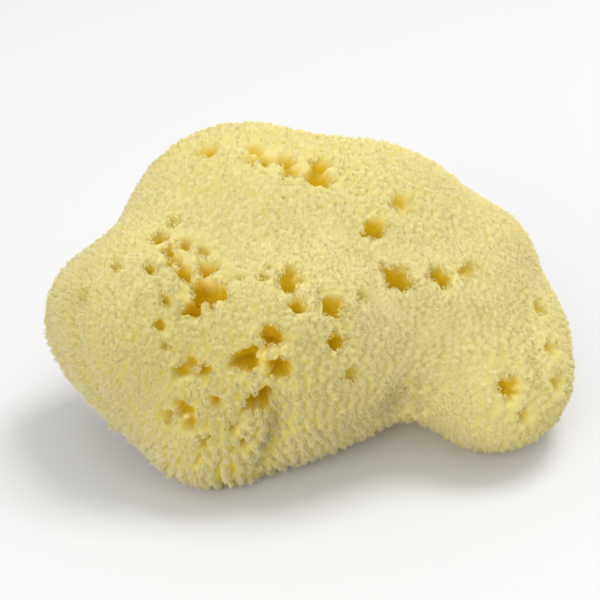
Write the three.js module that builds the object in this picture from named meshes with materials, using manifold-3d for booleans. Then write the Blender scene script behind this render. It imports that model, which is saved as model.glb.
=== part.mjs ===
// A natural bath sponge: one springy skeleton, grown as rounded lobes that run into each other.
// It rests on three of the lobes, cut flat underneath, and is open between them.
// Millimetres, +Z up. +X runs along its length, and +Y points away from the side with most openings.

import * as THREE from 'three';
import { mergeVertices } from 'three/addons/utils/BufferGeometryUtils.js';
import Module from 'manifold-3d';

const wasm = await Module();
wasm.setup();

// Each lobe is an ellipsoid: its centre, and its radii along X, Y and Z.
const LOBES = [
  { name: 'crown', centre: [-14, 11, 35], radii: [26, 24, 25] },
  { name: 'back', centre: [9, 12, 31], radii: [27, 23, 25] },
  { name: 'belly', centre: [-7, -13, 22], radii: [27, 20, 23] },
  { name: 'belly edge', centre: [11, -12, 16], radii: [11, 11, 11] },
  { name: 'saddle', centre: [21, -4, 24], radii: [21, 16, 17] },
  { name: 'shoulder', centre: [-31, -9, 25], radii: [18, 20, 22] },
  { name: 'left end', centre: [-41, -1, 24], radii: [13, 14, 13] },
  { name: 'right shoulder', centre: [33, 9, 31], radii: [13, 13, 12] },
  { name: 'right end', centre: [35, -9, 13.5], radii: [17, 18, 15] },
  { name: 'right bump', centre: [43, 3, 15], radii: [10, 14, 14] },
  { name: 'front foot', centre: [-20, -23, 12], radii: [13, 12, 13] },
  { name: 'rear foot', centre: [-5, 21, 13.5], radii: [20, 14, 15] },
];
const LOBE_BLEND = 3; // how softly one lobe runs into the next
const HEART = new THREE.Vector3(-3, 0, 26); // every stretch of the surface can be seen from here
const REACH = 90; // further from the heart than any of the surface
const SIGHT_STEPS = 90; // steps along a line of sight, each a share of the distance that is left
const SIGHT_SHARE = 0.8;
const SLOPE_STEP = 0.05;

// The facets, and the tufts that stand on some of their corners.
const FACET_DETAIL = 17;
const FACET_STRETCH = new THREE.Vector3(1.6, 1.1, 0.9); // the body's rough proportions
const MERGE_DISTANCE = 1e-4;
const EVENING_ROUNDS = 14; // rounds that even out the facets
const SKIN_DEPTH = 0.9; // the skin between the tufts lies this far under their mean tips
const TUFT_LEAST = 0.7;
const TUFT_MOST = 1.8;

// The openings on the front were measured from this place, looking at the middle of the body.
const VIEW_MIDDLE = new THREE.Vector3(-3, -3, 28);
const VIEW_DISTANCE = 283;
const VIEW_HEIGHT_ANGLE = 28;

// Front openings: how far across and up from the middle of that view, the width and the depth.
const FRONT_OPENINGS = [
  [-18.6, 3.4, 5.4, 9],
  [-17.2, 0.2, 4.6, 9],
  [-22.0, -1.0, 3.4, 6],
  [-5.8, -7.4, 3.8, 7],
  [-11.2, -12.0, 4.4, 8],
  [-4.0, -14.2, 3.8, 6],
  [-8.0, -21.6, 4.6, 8],
  [4.4, 25.8, 4.2, 7],
  [15.2, 14.8, 3.8, 6],
  [19.4, 5.8, 4.6, 6],
  [28.6, 5.4, 3.8, 4],
  [42.4, -17.6, 4.0, 4],
  [-2.4, 5.0, 4.2, 4],
  [7.6, -0.6, 4.4, 4],
  [8.4, -8.4, 3.8, 4],
  [-0.4, -0.4, 3.0, 3],
  [-2.6, 29.4, 3.6, 2],
  [-19.4, 31.4, 4.0, 2],
  [-45.0, 1.0, 4.0, 2],
  [-28.2, 13.8, 2.6, 3],
  [-26.2, 10.2, 2.6, 3],
  [-23.8, 6.9, 2.6, 3],
  [-28.2, -3.4, 2.6, 3],
  [-24.4, -14.2, 2.6, 3],
  [-20.6, -13.8, 2.6, 3],
  [-27.0, -23.6, 2.6, 3],
  [-22.4, -24.4, 2.6, 3],
];

// The openings out of that view: compass angle and height angle from the heart, width and depth.
const OTHER_OPENINGS = [
  [80, 62, 4.4, 7],
  [112, 34, 4.2, 7],
  [92, 8, 4.6, 7],
  [66, 26, 3.8, 6],
  [128, 2, 3.8, 6],
  [40, 44, 3.4, 5],
  [152, 30, 4.0, 6],
  [30, 4, 3.8, 5],
  [50, -14, 3.6, 5],
  [160, -6, 3.6, 5],
  [-75, -60, 4.0, 5],
  [85, -55, 3.8, 5],
];

// An opening narrows from a flared mouth to its end: shares of the width and of the depth.
const OPENING_PROFILE = [
  { radius: 0, depth: 1 },
  { radius: 0.24, depth: 0.8 },
  { radius: 0.42, depth: 0.2 },
];
const MOUTH_RADIUS = 0.56;
const FLARE_RADIUS = 0.66;
const MOUTH_HEIGHT = 0.6; // above the body's surface, among the tufts
const FLARE_HEIGHT = 2.4; // clear of the tufts
const OPENING_SIDES = 8;

const lobes = LOBES.map(({ centre, radii }) => ({
  centre: new THREE.Vector3(...centre),
  radii: new THREE.Vector3(...radii),
}));

// A repeatable number from 0 to 1 for each whole number.
function chance(number) {
  const wave = Math.sin(number * 127.1 + 11.7) * 43758.5453;
  return wave - Math.floor(wave);
}

// About how far a point is outside the body: each lobe's distance, blended by their exponentials.
function distanceOutside(point) {
  let total = 0;
  for (const { centre, radii } of lobes) {
    const scaled = point.clone().sub(centre).divide(radii);
    const reach = scaled.length();
    const slope = scaled.clone().divide(radii).length();
    total += Math.exp((-reach * (reach - 1)) / Math.max(slope, 1e-9) / LOBE_BLEND);
  }
  return -LOBE_BLEND * Math.log(total);
}

// The direction in which that distance grows fastest, with its rate as the length.
function slopeOutside(point) {
  const slope = new THREE.Vector3();
  for (const axis of ['x', 'y', 'z']) {
    const ahead = point.clone();
    const behind = point.clone();
    ahead[axis] += SLOPE_STEP;
    behind[axis] -= SLOPE_STEP;
    slope[axis] = (distanceOutside(ahead) - distanceOutside(behind)) / (2 * SLOPE_STEP);
  }
  return slope;
}

// The first point of the body on a line of sight.
function firstPointSeen(from, direction) {
  const point = from.clone();
  for (let step = 0; step < SIGHT_STEPS; step += 1) {
    point.addScaledVector(direction, Math.max(distanceOutside(point), 0) * SIGHT_SHARE);
  }
  return point;
}

// Moves a point straight onto the body's surface, the second time to make it exact.
function settle(point) {
  for (let time = 0; time < 2; time += 1) {
    const slope = slopeOutside(point);
    point.addScaledVector(slope, -distanceOutside(point) / slope.lengthSq());
  }
}

// A closed, even skin of facets over the lobes, as its corners and the corners of each facet.
function skinOverLobes() {
  const geometry = new THREE.IcosahedronGeometry(1, FACET_DETAIL);
  geometry.deleteAttribute('normal');
  geometry.deleteAttribute('uv');
  const ball = mergeVertices(geometry, MERGE_DISTANCE);
  const facets = Array.from(ball.index.array);
  const directions = [];
  for (let i = 0; i < ball.attributes.position.count; i += 1) {
    const direction = new THREE.Vector3().fromBufferAttribute(ball.attributes.position, i);
    directions.push(direction.multiply(FACET_STRETCH).normalize());
  }
  const corners = directions.map(placeInDirection);
  const neighbours = neighboursOf(corners.length, facets);
  for (let round = 0; round < EVENING_ROUNDS; round += 1) {
    evenOut(corners, neighbours);
  }
  return { corners, facets, neighbours };
}

function neighboursOf(count, facets) {
  const neighbours = Array.from({ length: count }, () => new Set());
  for (let i = 0; i < facets.length; i += 3) {
    const [a, b, c] = facets.slice(i, i + 3);
    neighbours[a].add(b).add(c);
    neighbours[b].add(c).add(a);
    neighbours[c].add(a).add(b);
  }
  return neighbours;
}

// Each corner moves half-way to the middle of its neighbours, and back onto the surface.
function evenOut(corners, neighbours) {
  const middles = neighbours.map((around) => {
    const middle = new THREE.Vector3();
    around.forEach((index) => middle.add(corners[index]));
    return middle.divideScalar(around.size);
  });
  corners.forEach((corner, index) => {
    corner.lerp(middles[index], 0.5);
    settle(corner);
  });
}

// Tufts stand on corners picked by chance, no two of them side by side.
function tuftHeights(neighbours) {
  const order = neighbours.map((_, index) => index);
  order.sort((a, b) => chance(a) - chance(b));
  const heights = neighbours.map(() => 0);
  for (const index of order) {
    const crowded = [...neighbours[index]].some((other) => heights[other] > 0);
    if (!crowded) {
      heights[index] = TUFT_LEAST + (TUFT_MOST - TUFT_LEAST) * chance(index + 0.5);
    }
  }
  return heights;
}

// The body: the skin with its tufts, cut flat at the level that it rests on.
function makeBody() {
  const { corners, facets, neighbours } = skinOverLobes();
  const heights = tuftHeights(neighbours);
  const positions = [];
  corners.forEach((corner, index) => {
    const outward = slopeOutside(corner).normalize();
    const placed = corner.clone().addScaledVector(outward, heights[index] - SKIN_DEPTH);
    placed.z = Math.max(placed.z, 0);
    positions.push(...placed.toArray());
  });
  return solidFrom(new Float32Array(positions), new Uint32Array(facets));
}

function solidFrom(vertProperties, triVerts) {
  return new wasm.Manifold(new wasm.Mesh({ numProp: 3, vertProperties, triVerts }));
}

// One opening, as the solid that is taken away: a pointed funnel with a flared mouth.
function makeOpening(place, width, depth) {
  const profile = OPENING_PROFILE.map((end) => (
    new THREE.Vector2(end.radius * width, -end.depth * depth)
  ));
  profile.push(new THREE.Vector2(MOUTH_RADIUS * width, MOUTH_HEIGHT));
  profile.push(new THREE.Vector2(FLARE_RADIUS * width, FLARE_HEIGHT));
  profile.push(new THREE.Vector2(0, FLARE_HEIGHT));
  const geometry = new THREE.LatheGeometry(profile, OPENING_SIDES);
  geometry.deleteAttribute('normal');
  geometry.deleteAttribute('uv');
  const outward = slopeOutside(place).normalize();
  const turn = new THREE.Quaternion().setFromUnitVectors(new THREE.Vector3(0, 1, 0), outward);
  geometry.applyQuaternion(turn);
  geometry.translate(...place.toArray());
  const merged = mergeVertices(geometry, MERGE_DISTANCE);
  return solidFrom(merged.attributes.position.array, merged.index.array);
}

// Where the line of sight through a point of the measured view meets the body.
function placeInFrontView(across, up) {
  const height = THREE.MathUtils.degToRad(VIEW_HEIGHT_ANGLE);
  const towardsEye = new THREE.Vector3(0, -Math.cos(height), Math.sin(height));
  const upward = new THREE.Vector3(0, Math.sin(height), Math.cos(height));
  const eye = VIEW_MIDDLE.clone().addScaledVector(towardsEye, VIEW_DISTANCE);
  const aim = VIEW_MIDDLE.clone().addScaledVector(upward, up);
  aim.x += across;
  return firstPointSeen(eye, aim.sub(eye).normalize());
}

// Where the line from the heart in a direction leaves the body.
function placeInDirection(direction) {
  const outside = HEART.clone().addScaledVector(direction, REACH);
  return firstPointSeen(outside, direction.clone().negate());
}

function placeByAngles(compass, height) {
  const turn = THREE.MathUtils.degToRad(compass);
  const rise = THREE.MathUtils.degToRad(height);
  const level = Math.cos(rise);
  return placeInDirection(
    new THREE.Vector3(level * Math.cos(turn), level * Math.sin(turn), Math.sin(rise)),
  );
}

function makeSponge() {
  let solid = makeBody();
  for (const [across, up, width, depth] of FRONT_OPENINGS) {
    solid = solid.subtract(makeOpening(placeInFrontView(across, up), width, depth));
  }
  for (const [compass, height, width, depth] of OTHER_OPENINGS) {
    solid = solid.subtract(makeOpening(placeByAngles(compass, height), width, depth));
  }
  const mesh = solid.getMesh();
  const geometry = new THREE.BufferGeometry();
  geometry.setAttribute('position', new THREE.BufferAttribute(mesh.vertProperties, 3));
  geometry.setIndex(new THREE.BufferAttribute(mesh.triVerts, 1));
  centreOverOrigin(geometry);
  geometry.computeVertexNormals();
  return geometry;
}

// The origin is under the middle of the body, at the level that it rests on.
function centreOverOrigin(geometry) {
  geometry.computeBoundingBox();
  const middle = geometry.boundingBox.getCenter(new THREE.Vector3());
  geometry.translate(-middle.x, -middle.y, 0);
}

const skeleton = new THREE.MeshStandardMaterial({ color: 0xe4d48b, roughness: 0.9, metalness: 0 });
const sponge = new THREE.Mesh(makeSponge(), skeleton);
sponge.name = 'sponge';

const model = new THREE.Group();
model.add(sponge);

export default model;
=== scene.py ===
# A natural bath sponge: a tufted skin over rounded lobes, deep openings, and fine fibres on the tufts.
# The shapes are worked out in millimetres and put into the meshes in metres.
import bpy
import math
import numpy as np
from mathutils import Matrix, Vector


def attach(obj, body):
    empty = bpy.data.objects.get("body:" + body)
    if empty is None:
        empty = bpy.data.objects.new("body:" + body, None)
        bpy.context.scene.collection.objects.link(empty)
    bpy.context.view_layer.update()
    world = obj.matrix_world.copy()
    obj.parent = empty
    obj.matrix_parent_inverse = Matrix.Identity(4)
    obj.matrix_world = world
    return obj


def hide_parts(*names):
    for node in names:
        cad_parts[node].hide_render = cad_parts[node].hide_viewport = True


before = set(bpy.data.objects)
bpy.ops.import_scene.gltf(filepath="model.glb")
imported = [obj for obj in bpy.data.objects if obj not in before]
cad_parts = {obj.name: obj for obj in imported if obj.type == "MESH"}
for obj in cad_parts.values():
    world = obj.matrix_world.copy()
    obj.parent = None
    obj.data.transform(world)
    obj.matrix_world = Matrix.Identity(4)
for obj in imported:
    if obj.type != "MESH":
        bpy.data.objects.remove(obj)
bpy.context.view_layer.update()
metres = 0.001  # in one millimetre
tiny = 1e-9  # keeps a division from meeting nought


# The lobes, their grid of points and the skin
body = {
    "lobes": {  # centre, then radii
        "crown": ((-14, 11, 35), (26, 24, 25)),
        "back": ((9, 12, 31), (27, 23, 25)),
        "belly": ((-7, -13, 22), (27, 20, 23)),
        "bellyEdge": ((11, -12, 16), (11, 11, 11)),
        "saddle": ((21, -4, 24), (21, 16, 17)),
        "shoulder": ((-31, -9, 25), (18, 20, 22)),
        "leftEnd": ((-41, -1, 24), (13, 14, 13)),
        "rightShoulder": ((33, 9, 31), (13, 13, 12)),
        "rightEnd": ((35, -9, 13.5), (17, 18, 15)),
        "rightBump": ((43, 3, 15), (10, 14, 14)),
        "frontFoot": ((-20, -23, 12), (13, 12, 13)),
        "rearFoot": ((-5, 21, 13.5), (20, 14, 15)),
    },
    "blend": 3.0,  # how softly one lobe runs into the next
    "heart": (-3, 0, 26),
    "reach": 90.0,  # further from the heart than any of the surface
    "slopeStep": 0.02,
    "sightSteps": 70,  # steps of a sight line on its way to the surface
    "sightShare": 0.8,  # and the share of the distance left that it goes at each
    "firstSide": 16,  # squares along a side of the first, coarse grid
    "doublings": 3,  # each doubles the squares along a side
    "stretch": (1.6, 1.1, 0.9),  # of the cube that the grid starts from
    "eveningRounds": 16,  # at each size of the grid
}

# The tufts of the skin: bold ones low on the left, fine ones on the rest. A pair of values is for
# the fine tufts and for the bold ones
tufts = {
    "rings": 2,  # steps of the grid kept clear round a fine tuft
    "boldRings": 3,  # and round a bold one
    "radius": (1.1, 1.4),
    "bold": (0.65, 1.35),  # share of the height
    "boldTo": (4, 34),  # how far along X and up Z the bold ones go
    "boldFade": (7, 5),  # and how softly they end there
    "boldFrom": 0.5,  # they are spaced as bold ones where they are bolder than this
    "behind": 0.3,  # a surface that faces backwards by more than this is half as bold
    "height": (0.6, 1.3),  # least and most
    "heightCell": 2.2,  # how far apart high and low tufts are
    "heightSeed": 11,
    "passes": 6,  # more than the steps from a tuft to its furthest point
    "skinDepth": 1.9,  # the skin between the tufts lies this far under the lobes' surface
    "pitFade": 3.0,  # tufts shrink in a pit and are lowest where it is this deep
    "leastLift": 0.2,
    "seed": 7,
}

# The openings. On the front they are measured across and up from the view's middle, and each
# has a width and a depth. The dimples are the small pits between the tufts.
openings = {
    "viewMiddle": (-3, -3, 28),
    "viewDistance": 283.0,
    "viewHeightAngle": 28.0,
    "front": (
        (-18.4, 2.8, 5.6, 9), (-18.7, 6.9, 3.4, 6), (-21.8, -1.2, 3.2, 5), (-5.8, -7.4, 3.8, 7),
        (-11.2, -12.0, 4.4, 8), (-4.0, -14.2, 3.8, 6), (-8.0, -21.6, 4.6, 8), (4.4, 25.8, 4.2, 7),
        (15.2, 14.8, 3.8, 6), (19.4, 5.8, 4.6, 6), (28.6, 5.4, 3.8, 4), (42.4, -17.6, 4.0, 4),
        (-2.4, 5.0, 4.2, 4), (7.6, -0.6, 4.4, 4), (8.4, -8.4, 3.8, 4), (-0.4, -0.4, 3.0, 3),
    ),
    "dimples": (
        (4.2, 28.8, 3.4, 3), (21.4, 4.6, 3.2, 4), (-1.6, 7.4, 2.4, 2),
        (34.4, 7.4, 3.8, 1.4), (21.0, 20.6, 3.8, 1.4), (-2.6, 29.4, 3.6, 2),
        (-1.2, 27.0, 2.8, 2), (-7.0, 29.6, 3.2, 1.6), (-9.6, 29.4, 3.0, 1.4),
        (-9.0, 32.0, 3.2, 1.4), (-19.4, 31.4, 4.0, 1.8), (-45.0, 1.0, 4.0, 2),
        (11.4, -15.4, 2.8, 1.4), (53.4, -16.6, 3.2, 1.4), (52.0, -8.6, 3.4, 1.4),
        (49.4, -0.6, 3.2, 1.4), (-38.0, 7.4, 3.2, 1.0), (-30.0, 7.4, 2.8, 1.8),
        (13.2, 1.0, 2.4, 1.2), (46.0, -24.0, 2.6, 1.2), (-24.0, -22.0, 3.2, 2.6),
        (-26.9, -23.8, 2.4, 2), (-22.6, -25.2, 2.2, 1.8), (-24.3, -14.6, 2.6, 2.2),
        (-19.8, -14.2, 2.4, 2), (-19.2, -28.4, 1.8, 1.8), (-19.4, -30.2, 1.6, 1.4),
        (-17.2, -20.5, 1.8, 1.8), (-28.4, -5.0, 2.0, 2), (-27.0, 0.6, 2.4, 1.4),
        (-7.6, 5.8, 1.8, 2), (-6.8, 7.8, 1.4, 1.6), (-10.6, -29.6, 2.0, 1.6),
        (-27.0, -9.6, 1.6, 1.4), (-13.6, -26.0, 1.8, 1.4), (-21.9, -13.4, 2.2, 1.6),
        (-25.7, 16.6, 2.6, 1.6), (-28.3, 14.0, 3.2, 2.2), (-26.5, 11.5, 3.0, 2.2),
        (-22.6, 12.4, 2.6, 1.6), (-24.9, 9.1, 2.6, 2), (-22.7, 6.7, 3.2, 2.4),
        (-19.4, 11.0, 2.2, 1.8), (-12.2, 5.6, 1.4, 1.4),
    ),
    "other": (  # compass angle and height angle from the heart, width and depth
        (80, 62, 4.4, 7), (112, 34, 4.2, 7), (92, 8, 4.6, 7), (66, 26, 3.8, 6),
        (128, 2, 3.8, 6), (40, 44, 3.4, 5), (152, 30, 4.0, 6), (30, 4, 3.8, 5),
        (50, -14, 3.6, 5), (160, -6, 3.6, 5), (-75, -60, 4.0, 5), (85, -55, 3.8, 5),
        (96, 54, 2.6, 2.4), (119, 27, 2.8, 2.4), (98, 2, 2.4, 2), (71, 20, 2.6, 2.2),
        (135, 7, 2.2, 1.8), (146, 36, 2.4, 2), (104, 40, 2.0, 1.6), (86, 13, 2.0, 1.6),
    ),
    "gather": 1.5,  # how strongly the grid is drawn together at an opening
    "gatherReach": 1.1,  # and how far from its axis, in widths
    "gatherLeast": 1e-3,  # keeps the point on the axis in its place
    "wallPower": 2.4,  # a higher one makes the walls steeper
    "floorPower": 0.8,
    "flare": 0.5,  # depth of the soft edge round an opening
    "flareWidth": 0.6,  # and its width, in radii
    "rimLeast": 0.7,  # the wobbly rim's least and most share of the radius
    "rimMost": 1.6,
    "rimCell": 1.3,  # how far apart its teeth are
    "rimSeed": 3,
}

# Soft folds between the lobes and broad dents, measured in the same view, with width and depth
folds = {
    "lines": (
        (((-7.2, -34.4), (-4.8, -30.4), (-3.6, -26.4), (-4.2, -23.0), (-6.4, -21.0)), 2.2, 3.8),
        (((21.7, -25.6), (21.8, -24.0), (22.2, -21.0)), 3.4, 2.2),
        (((-46.6, -1.0), (-45.6, -7.0), (-43.0, -15.0), (-40.0, -20.0)), 2.4, 1.6),
        (((46.4, 0.0), (47.6, -6.0), (49.0, -12.0), (49.8, -17.4)), 2.6, 1.2),
    ),
    "dents": (
        (21.0, -26.0, 9.0, 2.8),
        (11.0, -28.0, 7.0, 1.6),
    ),
}


# The repeatable noise
noise = {
    "turns": (127.1, 311.7, 74.7),
    "seedTurn": 53.3,
    "height": 43758.5453,
}


def chance(whole, seed):
    # number from 0 to 1 for each row of whole numbers: the fraction of a very high sine wave
    wave = np.sin(whole @ np.array(noise["turns"]) + seed * noise["seedTurn"]) * noise["height"]
    return wave - np.floor(wave)


def cloudy(points, cell, seed):
    # smooth noise from 0 to 1: the numbers at the eight corners of each point's cell, blended
    # by its place in the cell, eased at both ends
    low = np.floor(points / cell)
    part = points / cell - low
    part = part * part * (3 - 2 * part)
    total = np.zeros(len(points))
    for corner in np.ndindex(2, 2, 2):
        corner = np.array(corner)
        share = np.prod(np.where(corner == 1, part, 1 - part), axis=1)
        total += share * chance(low + corner, seed)
    return total


def between(low, high, share):
    return low + (high - low) * share


def bodyDistance(points):
    # distance outside the body: minus blend times the log of the sum, over the lobes, of e to the
    # power of minus the lobe's distance over blend, a lobe's distance being |q| (|q| - 1) / |q / radii|
    total = np.zeros(len(points))
    for centre, radii in body["lobes"].values():
        scaled = (points - np.array(centre)) / np.array(radii)
        reach = np.sqrt((scaled**2).sum(axis=1))
        slope = np.sqrt(((scaled / np.array(radii)) ** 2).sum(axis=1))
        total += np.exp(-reach * (reach - 1) / np.maximum(slope, tiny) / body["blend"])
    return -body["blend"] * np.log(total)


def bodySlope(points, distances):
    # change of that distance along X, Y and Z, from a small step each way
    step = body["slopeStep"]
    changes = [bodyDistance(points + step * axis) - distances for axis in np.eye(3)]
    return np.stack(changes, axis=1) / step


def settle(points):
    # one step straight onto the surface: minus distance times slope over slope squared
    distances = bodyDistance(points)
    slope = bodySlope(points, distances)
    return points - slope * (distances / (slope**2).sum(axis=1))[:, None]


def outward(points):
    slope = bodySlope(points, bodyDistance(points))
    return slope / np.linalg.norm(slope, axis=1)[:, None]


def firstSeen(points, ways):
    # each point goes along its way by a share of its distance outside, again and again
    for _ in range(body["sightSteps"]):
        outside = np.maximum(bodyDistance(points), 0)
        points = points + ways * (outside * body["sightShare"])[:, None]
    return points


def cubeGrid(side):
    # six square patches of a cube: each point's merged number, patch by patch, and its place
    # from -1 to 1 along each axis
    steps = np.arange(side + 1)
    across, along = np.meshgrid(steps, steps, indexing="ij")
    patches = []
    for axis in range(3):
        for end in (0, side):
            place = np.zeros((side + 1, side + 1, 3), int)
            place[..., axis] = end
            place[..., (axis + 1) % 3] = across if end else along
            place[..., (axis + 2) % 3] = along if end else across
            patches.append(place)
    places = np.array(patches).reshape(-1, 3)
    keys = places @ np.array(((side + 1) ** 2, side + 1, 1))
    _, first, merged = np.unique(keys, return_index=True, return_inverse=True)
    return merged.reshape(6, side + 1, side + 1), places[first] / side * 2 - 1


def squaresOf(grid):
    corners = (grid[:, :-1, :-1], grid[:, 1:, :-1], grid[:, 1:, 1:], grid[:, :-1, 1:])
    return np.stack(corners, axis=-1).reshape(-1, 4)


def neighboursOf(grid, count):
    # a row of nine for each point: itself, then the points of the squares that it is a corner of
    squares = squaresOf(grid)
    pairs = [squares[:, (a, b)] for a in range(4) for b in range(4) if a != b]
    keys = np.unique(np.concatenate(pairs) @ np.array((count, 1)))
    own, other = keys // count, keys % count
    starts = np.searchsorted(own, np.arange(count))
    around = np.repeat(np.arange(count)[:, None], 9, axis=1)
    around[own, np.arange(len(own)) - starts[own] + 1] = other
    return around


def evened(points, around, rounds):
    # each point moves half-way to the middle of its neighbours, then back onto the surface
    for _ in range(rounds):
        points = settle(points + 0.5 * (points[around].mean(axis=1) - points))
    return points


def doubled(points, grid):
    # the same patches with a new point half-way between each two
    old = points[grid]
    side = (grid.shape[1] - 1) * 2
    new = np.zeros((6, side + 1, side + 1, 3))
    new[:, ::2, ::2] = old
    new[:, 1::2, ::2] = (old[:, :-1] + old[:, 1:]) / 2
    new[:, :, 1::2] = (new[:, :, :-1:2] + new[:, :, 2::2]) / 2
    finer, places = cubeGrid(side)
    merged = np.zeros((len(places), 3))
    merged[finer.ravel()] = new.reshape(-1, 3)
    return merged, finer


def lobeSurface():
    # the lobes' surface as an even grid, first coarse, then doubled and evened again
    grid, places = cubeGrid(body["firstSide"])
    ways = np.tan(places * math.pi / 4) * np.array(body["stretch"])
    ways /= np.linalg.norm(ways, axis=1)[:, None]
    points = firstSeen(np.array(body["heart"]) + ways * body["reach"], -ways)
    points = evened(points, neighboursOf(grid, len(points)), body["eveningRounds"])
    for _ in range(body["doublings"]):
        points, grid = doubled(points, grid)
        points = evened(points, neighboursOf(grid, len(points)), body["eveningRounds"])
    return points, grid


def seenAt(across, up):
    # where the sight lines through these places of the front view first meet the surface
    rise = math.radians(openings["viewHeightAngle"])
    towardsEye = np.array((0, -math.cos(rise), math.sin(rise)))
    upward = np.array((0, math.sin(rise), math.cos(rise)))
    middle = np.array(openings["viewMiddle"])
    eye = middle + towardsEye * openings["viewDistance"]
    aims = middle + np.asarray(up)[:, None] * upward
    aims[:, 0] += across
    ways = aims - eye
    ways /= np.linalg.norm(ways, axis=1)[:, None]
    return firstSeen(np.repeat(eye[None], len(aims), axis=0), ways)


def openingPlaces():
    # the front openings and dimples, then those met by a line from the heart
    front = np.array(openings["front"] + openings["dimples"])
    seen = seenAt(front[:, 0], front[:, 1])
    other = np.array(openings["other"])
    compass, height = np.radians(other[:, 0]), np.radians(other[:, 1])
    level = np.cos(height)
    ways = np.stack((level * np.cos(compass), level * np.sin(compass), np.sin(height)), axis=1)
    hidden = firstSeen(np.array(body["heart"]) + ways * body["reach"], -ways)
    places = np.concatenate((seen, hidden))
    sizes = np.concatenate((front[:, 2:], other[:, 2:]))
    return places, outward(places), sizes


def lineDistance(points, bends):
    # distance from each point to a line of bends given in the front view: the least over its
    # stretches of |p - a - t (b - a)|, where t is the share of the way from a to b, from 0 to 1
    across, up = np.array(bends).T
    corners = seenAt(across, up)
    nearest = np.full(len(points), np.inf)
    for start, end in zip(corners[:-1], corners[1:]):
        along = end - start
        share = np.clip((points - start) @ along / (along @ along), 0, 1)
        gap = np.linalg.norm(points - start - share[:, None] * along, axis=1)
        nearest = np.minimum(nearest, gap)
    return nearest


def foldDepths(points):
    # each fold and dent sinks by depth * e^-(distance / width)^2
    depths = np.zeros(len(points))
    for bends, width, depth in folds["lines"]:
        depths += depth * np.exp(-((lineDistance(points, bends) / width) ** 2))
    for across, up, width, depth in folds["dents"]:
        gap = np.linalg.norm(points - seenAt([across], [up]), axis=1)
        depths += depth * np.exp(-((gap / width) ** 2))
    return depths


def fromAxis(points, place, way):
    # vector from an opening's axis to each point, and how far the point is along the axis
    offset = points - place
    along = offset @ way
    return offset - along[:, None] * way, along


def gathered(points, places, ways, sizes):
    # near an opening, distance from its axis becomes rim * (distance / rim) ** gather
    for place, way, (width, _) in zip(places, ways, sizes):
        across, along = fromAxis(points, place, way)
        distance = np.linalg.norm(across, axis=1)
        rim = width * openings["gatherReach"]
        near = (distance < rim) & (abs(along) < width)
        shrink = np.ones(len(points))
        share = np.maximum(distance[near] / rim, openings["gatherLeast"])
        shrink[near] = share ** (openings["gather"] - 1)
        points = points - across * (1 - shrink)[:, None]
    return settle(points)


def openingDepths(points, places, ways, sizes):
    # depth * (1 - s^wallPower)^floorPower inside the wobbly rim, where s is the distance from
    # the axis over the rim's, and a soft flare just outside it
    depths = np.zeros(len(points))
    clouds = cloudy(points, openings["rimCell"], openings["rimSeed"])
    wobble = between(openings["rimLeast"], openings["rimMost"], clouds)
    soft = openings["flareWidth"]
    for place, way, (width, depth) in zip(places, ways, sizes):
        across, along = fromAxis(points, place, way)
        share = np.linalg.norm(across, axis=1) / (0.5 * width * wobble)
        near = abs(along) < width
        inside = np.maximum(1 - share ** openings["wallPower"], 0) ** openings["floorPower"]
        flare = openings["flare"] * np.clip((1 + soft - share) / soft, 0, 1) ** 2
        depths = np.maximum(depths, np.where(near, depth * inside + flare, 0))
    return depths


def widened(chosen, around, rings):
    # the chosen points and those within the rings of them
    for _ in range(rings):
        chosen = chosen[around].any(axis=1)
    return chosen


def spacedOut(around, rings, order, left):
    # points no two of which are within the rings: the least order within its rings is picked
    # and rules its rings out, until no point is left
    picked = np.zeros(len(order), bool)
    past = 2.0  # more than any order
    while left.any():
        value = np.where(left, order, past)
        least = value
        for _ in range(rings):
            least = least[around].min(axis=1)
        new = left & (value <= least)
        picked |= new
        left = left & ~widened(new, around, rings)
    return picked


def nearestPicked(points, around, picked):
    # each point's nearest picked point, passed on from neighbour to neighbour
    owner = np.where(picked, np.arange(len(points)), -1)
    for _ in range(tufts["passes"]):
        offered = owner[around]
        distance = np.linalg.norm(points[offered] - points[:, None], axis=2)
        distance[offered < 0] = np.inf
        best = distance.argmin(axis=1)
        owner = offered[np.arange(len(points)), best]
    return owner, np.linalg.norm(points[owner] - points, axis=1)


def boldnessOf(points, normals):
    # 1 where the tufts are bold and 0 where they are fine: along X and up Z the share falls as
    # 1 / (1 + e^((place - end) / fade))
    share = np.ones(len(points))
    for axis, end, fade in zip((0, 2), tufts["boldTo"], tufts["boldFade"]):
        share /= 1 + np.exp((points[:, axis] - end) / fade)
    share[normals[:, 1] > tufts["behind"]] /= 2
    return share


surface, grid = lobeSurface()
print("lobes' surface:", len(surface), "points")
openingAt, openingWay, openingSize = openingPlaces()
surface = gathered(surface, openingAt, openingWay, openingSize)
around = neighboursOf(grid, len(surface))
normals = outward(surface)
pitDepth = openingDepths(surface, openingAt, openingWay, openingSize)
middle = (surface.min(axis=0) + surface.max(axis=0)) / 2 * (1, 1, 0)
surface -= normals * foldDepths(surface)[:, None]
order = np.random.default_rng(tufts["seed"]).random(len(surface))
boldness = boldnessOf(surface, normals)
picked = spacedOut(around, tufts["boldRings"], order, boldness > tufts["boldFrom"])
picked |= spacedOut(around, tufts["rings"], order, ~widened(picked, around, tufts["rings"]))
owner, tuftDistance = nearestPicked(surface, around, picked)
print("tufts:", picked.sum(), "openings:", len(openingAt))

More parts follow.
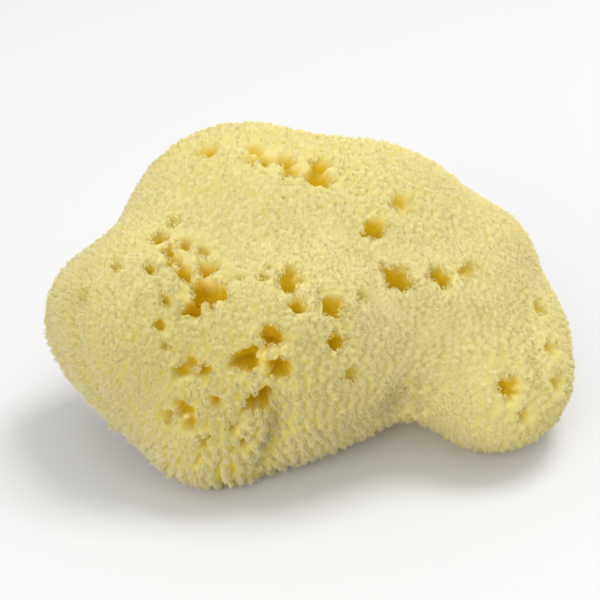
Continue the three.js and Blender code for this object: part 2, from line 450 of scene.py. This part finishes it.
least, most = tufts["height"]
clouds = cloudy(surface, tufts["heightCell"], tufts["heightSeed"])
tuftHeight = between(least, most, clouds) * between(*tufts["bold"], boldness)
tuftRadius = between(*tufts["radius"], boldness)
tuftShape = np.maximum(1 - (tuftDistance / tuftRadius[owner]) ** 2, 0)
lift = tuftHeight[owner] * tuftShape * np.clip(1 - pitDepth / tufts["pitFade"], tufts["leastLift"], 1)
skin = surface + normals * (lift - tufts["skinDepth"] - pitDepth)[:, None]
skin[:, 2] = np.maximum(skin[:, 2], 0.0)
mapName = "OFBake"


def newMesh(name, points, faces, uv):
    # a mesh object from points in millimetres, faces with equal numbers of corners, and a map
    mesh = bpy.data.meshes.new(name)
    sides = faces.shape[1]
    mesh.vertices.add(len(points))
    mesh.vertices.foreach_set("co", ((points - middle) * metres).astype(np.float32).ravel())
    mesh.loops.add(faces.size)
    mesh.loops.foreach_set("vertex_index", faces.astype(np.int32).ravel())
    mesh.polygons.add(len(faces))
    mesh.polygons.foreach_set("loop_start", np.arange(0, faces.size, sides, dtype=np.int32))
    mesh.update(calc_edges=True)
    layer = mesh.uv_layers.new(name=mapName)
    layer.uv.foreach_set("vector", uv.astype(np.float32).ravel())
    piece = bpy.data.objects.new(name, mesh)
    bpy.context.scene.collection.objects.link(piece)
    return piece


def addValues(piece, name, values):
    layer = piece.data.attributes.new(name, "FLOAT", "POINT")
    layer.data.foreach_set("value", values.astype(np.float32))


def patchMap(side):
    # the six patches side by side, three across and two up, as corner places of each square
    margin = 0.02
    step = np.linspace(margin, 1 - margin, side + 1)
    across, along = np.meshgrid(step, step, indexing="ij")
    corners = []
    for patch in range(6):
        u = (patch % 3 + across) / 3
        v = (patch // 3 + along) / 2
        place = np.stack((u, v), axis=-1)
        square = (place[:-1, :-1], place[1:, :-1], place[1:, 1:], place[:-1, 1:])
        corners.append(np.stack(square, axis=2))
    return np.array(corners).reshape(-1, 2)


# Colours of the skin, from the tips to the deepest openings. The gap and pit colours are painted shade:
# deeper golden between the tufts and orange down in the openings, standing in for shade and for light
# glowing through the meshwork
skinLook = {
    "tip": (0.98, 0.93, 0.50, 1),
    # painted shade: the gaps between the tufts are coloured deeper golden
    "gap": (0.88, 0.73, 0.10, 1),
    # painted shade and painted glow: the openings are coloured orange, more so with depth
    "pit": (0.84, 0.58, 0.02, 1),
    "golden": (0.45, 1.0),  # how much painted shade the gaps get, between fine tufts and between bold ones
    "pitShadeReach": 2.0,  # the depth at which a pit is all of its painted shade colour
    "roughness": 0.9,
    "specular": 0.1,
    "translucent": 0.65,
}


def newMaterial(name):
    material = bpy.data.materials.new(name)
    material.use_nodes = True
    nodes = material.node_tree.nodes
    nodes.clear()
    return material, nodes, material.node_tree.links


def mixColours(nodes, links, share, first, second):
    # a Mix node's share and two colours, each a socket or a fixed value
    mix = nodes.new("ShaderNodeMix")
    mix.data_type = "RGBA"
    for socket, value in zip((mix.inputs[0], mix.inputs[6], mix.inputs[7]), (share, first, second)):
        if isinstance(value, bpy.types.NodeSocket):
            links.new(value, socket)
        else:
            socket.default_value = value
    return mix.outputs[2]


def lightThrough(nodes, links, shader, colour, share):
    # the open meshwork lets a share of the light through
    through = nodes.new("ShaderNodeBsdfTranslucent")
    links.new(colour, through.inputs["Color"])
    mix = nodes.new("ShaderNodeMixShader")
    mix.inputs[0].default_value = share
    links.new(shader.outputs[0], mix.inputs[1])
    links.new(through.outputs[0], mix.inputs[2])
    output = nodes.new("ShaderNodeOutputMaterial")
    links.new(mix.outputs[0], output.inputs[0])


def skinMaterial():
    material, nodes, links = newMaterial("skin")
    # painted shade: the gap colour between the tufts, then the pit colour in the openings
    gapShade = nodes.new("ShaderNodeAttribute")
    gapShade.attribute_name = "gapShade"
    pit = nodes.new("ShaderNodeAttribute")
    pit.attribute_name = "pit"
    shallow = mixColours(nodes, links, gapShade.outputs["Fac"], skinLook["tip"], skinLook["gap"])
    colour = mixColours(nodes, links, pit.outputs["Fac"], shallow, skinLook["pit"])
    shader = nodes.new("ShaderNodeBsdfPrincipled")
    links.new(colour, shader.inputs["Base Color"])
    shader.inputs["Roughness"].default_value = skinLook["roughness"]
    shader.inputs["Specular IOR Level"].default_value = skinLook["specular"]
    lightThrough(nodes, links, shader, colour, skinLook["translucent"])
    return material


def makeSkin():
    piece = newMesh("spongeSkin", skin, squaresOf(grid), patchMap(grid.shape[1] - 1))
    piece.data.polygons.foreach_set("use_smooth", np.ones(len(piece.data.polygons), bool))
    # painted shade: deeper golden between the tufts, more so between bold ones
    addValues(piece, "gapShade", (1 - tuftShape) * between(*skinLook["golden"], boldness))
    # painted shade and glow in the openings, by their depth
    addValues(piece, "pit", np.clip(pitDepth / skinLook["pitShadeReach"], 0, 1))
    piece.data.materials.append(skinMaterial())
    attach(piece, "root")
    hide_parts("sponge")


makeSkin()
print("skin made")


# The fibres that stand on the tufts
fibres = {
    "pieces": ("fibresLeft", "fibresBelly", "fibresSaddle", "fibresRight"),
    "perPiece": 49900,
    "width": (0.26, 0.44),
    "length": (0.45, 0.95),
    "spread": (0.86, 0.58),  # share of the tuft's radius, on fine tufts and on bold ones
    "tipShare": 0.92,  # how far from the tuft's middle a tip is, against its root
    "scatter": 0.12,  # of the tips, at random
    "rooting": 0.2,  # how far the root is under the tuft's surface
    "roundness": 0.6,  # how far the shading normals lean away from the body's own
    "skyward": 0.4,  # and how far upwards
    "pitLimit": 0.6,  # none stand on a tuft that lies deeper in a pit
    "floorGap": 0.02,
    "tint": 0.35,  # most share of the golden colour at random, and the painted shade that a pit adds to it
    "pitShadeTint": 0.3,
    "tintLimit": 0.98,
    "seed": 21,
    # painted shade: the fibres are golden at the root, down among the tufts, and pale at the tip
    "root": (0.96, 0.84, 0.21, 1),
    "tip": (0.99, 0.975, 0.84, 1),
    "paling": 1.5,  # above 1, the pale colour keeps to the tips and the painted shade at the root reaches further up
    "golden": (0.96, 0.78, 0.17, 1),  # mixed in by the tint: random tone, and painted shade near a pit
    "roughness": 0.85,
    "specular": 0.1,
    "translucent": 0.6,
}


def fibreMaterial():
    material, nodes, links = newMaterial("fibre")
    place = nodes.new("ShaderNodeUVMap")
    place.uv_map = mapName
    parts = nodes.new("ShaderNodeSeparateXYZ")
    links.new(place.outputs[0], parts.inputs[0])
    # painted shade: the colour runs from golden at the root to pale at the tip by height
    rise = nodes.new("ShaderNodeMath")
    rise.operation = "POWER"
    rise.inputs[1].default_value = fibres["paling"]
    links.new(parts.outputs[1], rise.inputs[0])
    pale = mixColours(nodes, links, rise.outputs[0], fibres["root"], fibres["tip"])
    colour = mixColours(nodes, links, parts.outputs[0], pale, fibres["golden"])
    shader = nodes.new("ShaderNodeBsdfPrincipled")
    links.new(colour, shader.inputs["Base Color"])
    shader.inputs["Roughness"].default_value = fibres["roughness"]
    shader.inputs["Specular IOR Level"].default_value = fibres["specular"]
    lightThrough(nodes, links, shader, colour, fibres["translucent"])
    return material


def makeFibres():
    # each fibre is a pointed three-sided spike on a tuft, and its shading normals lean towards the
    # body's own, as on a soft nap. The tuft's height is h (1 - (r / radius)^2) at r from its middle
    draw = np.random.default_rng(fibres["seed"])
    centres = np.flatnonzero(picked & (pitDepth < fibres["pitLimit"]))
    count = fibres["perPiece"] * len(fibres["pieces"])
    centres = centres[np.argsort(surface[centres, 0], kind="stable")]
    parts = np.cumsum(tuftRadius[centres] ** 2)
    tuft = centres[np.searchsorted(parts, (np.arange(count) + 0.5) / count * parts[-1])]
    up = normals[tuft]
    level = np.cross(up, (0.0, 0.0, 1.0)) + tiny
    level /= np.linalg.norm(level, axis=1)[:, None]
    other = np.cross(up, level)
    swing = draw.random(count) * math.tau
    share = np.sqrt(draw.random(count))
    away = share * between(*fibres["spread"], boldness[tuft]) * tuftRadius[tuft]
    outwards = level * np.cos(swing)[:, None] + other * np.sin(swing)[:, None]
    rise = tuftHeight[tuft] * (1 - (away / tuftRadius[tuft]) ** 2)
    rise -= tufts["skinDepth"] + pitDepth[tuft] + fibres["rooting"]
    root = surface[tuft] + outwards * away[:, None] + up * rise[:, None]
    length = between(*fibres["length"], draw.random(count)) * tuftHeight[tuft]
    tip = root + outwards * (away * (fibres["tipShare"] - 1))[:, None]
    tip += up * (length + fibres["rooting"])[:, None]
    tip += draw.normal(scale=fibres["scatter"], size=(count, 3))
    width = between(*fibres["width"], draw.random(count))
    places = []
    for turn in np.arange(3) * math.tau / 3:
        ring = level * math.cos(turn) + other * math.sin(turn)
        places.append(root + ring * (width / 2)[:, None])
    points = np.stack((*places, tip), axis=1)
    points[..., 2] = np.maximum(points[..., 2], fibres["floorGap"])
    lean = up + outwards * (share * fibres["roundness"])[:, None]
    lean[:, 2] += fibres["skyward"]
    lean /= np.linalg.norm(lean, axis=1)[:, None]
    # random golden tone, plus painted shade on fibres in or near a pit
    tint = draw.random(count) * fibres["tint"] + pitDepth[tuft] * fibres["pitShadeTint"]
    tint = np.minimum(tint, fibres["tintLimit"])
    # three sides and a base, of which the last point is the tip. The map holds tint, which carries the
    # painted shade near pits, and height, which sets the painted shade towards the root
    pattern = np.array(((0, 1, 3), (1, 2, 3), (2, 0, 3), (2, 1, 0)))
    material = fibreMaterial()
    for number, name in enumerate(fibres["pieces"]):
        part = slice(number * fibres["perPiece"], (number + 1) * fibres["perPiece"])
        faces = (np.arange(fibres["perPiece"])[:, None, None] * 4 + pattern).reshape(-1, 3)
        height = np.array((0.0, 0.0, 0.0, 1.0))[faces % 4]
        shade = np.repeat(tint[part], 4)[:, None].repeat(3, axis=1)
        uv = np.stack((shade, height), axis=-1).reshape(-1, 2)
        piece = newMesh(name, points[part].reshape(-1, 3), faces, uv)
        piece.data.polygons.foreach_set("use_smooth", np.ones(len(faces), bool))
        piece.data.normals_split_custom_set_from_vertices(np.repeat(lean[part], 4, axis=0))
        piece.data.materials.append(material)
        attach(piece, "root")
        print("fibres made:", name)


makeFibres()


# The floor, the lights and the camera
studio = {
    "floorSize": 6.0,
    "floorColour": (0.49, 0.49, 0.495, 1),
    "floorRoughness": 0.8,
    "floorSpecular": 0.1,
    "skyColour": (1.0, 1.0, 1.0, 1),
    "skyStrength": 1.03,
    "keyPlace": (0.30, 0.20, 0.90),
    "keySize": 0.4,
    "keyPower": 7.5,
    "keyColour": (1.0, 1.0, 1.0),
    "fillPlace": (-0.35, -0.70, 0.38),
    "fillSize": 0.5,
    "fillPower": 4.8,
    "fillColour": (1.0, 0.97, 0.90),
    "lens": 85.0,
    "sensor": 36.0,
    "clipStart": 0.01,
    "gamma": 1.15,
    "bounces": {"max_bounces": 24, "diffuse_bounces": 16, "transmission_bounces": 12},
}


def makeFloor():
    half = studio["floorSize"] / 2
    mesh = bpy.data.meshes.new("floor")
    corners = [(-half, -half, 0), (half, -half, 0), (half, half, 0), (-half, half, 0)]
    mesh.from_pydata(corners, [], [(0, 1, 2, 3)])
    floor = bpy.data.objects.new("floor", mesh)
    bpy.context.scene.collection.objects.link(floor)
    material, nodes, links = newMaterial("floor")
    shader = nodes.new("ShaderNodeBsdfPrincipled")
    shader.inputs["Base Color"].default_value = studio["floorColour"]
    shader.inputs["Roughness"].default_value = studio["floorRoughness"]
    shader.inputs["Specular IOR Level"].default_value = studio["floorSpecular"]
    output = nodes.new("ShaderNodeOutputMaterial")
    links.new(shader.outputs[0], output.inputs[0])
    mesh.materials.append(material)


def makeLights():
    world = bpy.data.worlds.new("studio")
    bpy.context.scene.world = world
    world.use_nodes = True
    sky = world.node_tree.nodes["Background"]
    sky.inputs[0].default_value = studio["skyColour"]
    sky.inputs[1].default_value = studio["skyStrength"]
    for name in ("key", "fill"):
        lamp = bpy.data.lights.new(name, "AREA")
        lamp.energy = studio[name + "Power"]
        lamp.color = studio[name + "Colour"]
        lamp.size = studio[name + "Size"]
        light = bpy.data.objects.new(name, lamp)
        light.location = studio[name + "Place"]
        light.rotation_euler = Vector(studio[name + "Place"]).to_track_quat("Z", "Y").to_euler()
        bpy.context.scene.collection.objects.link(light)


def makeCamera():
    rise = math.radians(openings["viewHeightAngle"])
    aim = Vector((np.array(openings["viewMiddle"]) - middle) * metres)
    back = Vector((0, -math.cos(rise), math.sin(rise)))
    data = bpy.data.cameras.new("camera")
    data.lens = studio["lens"]
    data.sensor_width = studio["sensor"]
    data.clip_start = studio["clipStart"]
    camera = bpy.data.objects.new("camera", data)
    camera.location = aim + back * openings["viewDistance"] * metres
    camera.rotation_euler = back.to_track_quat("Z", "Y").to_euler()
    bpy.context.scene.collection.objects.link(camera)
    bpy.context.scene.camera = camera


makeFloor()
makeLights()
makeCamera()
bpy.context.scene.view_settings.view_transform = "Standard"
bpy.context.scene.view_settings.gamma = studio["gamma"]
for kind, count in studio["bounces"].items():
    setattr(bpy.context.scene.cycles, kind, count)
print("studio made")
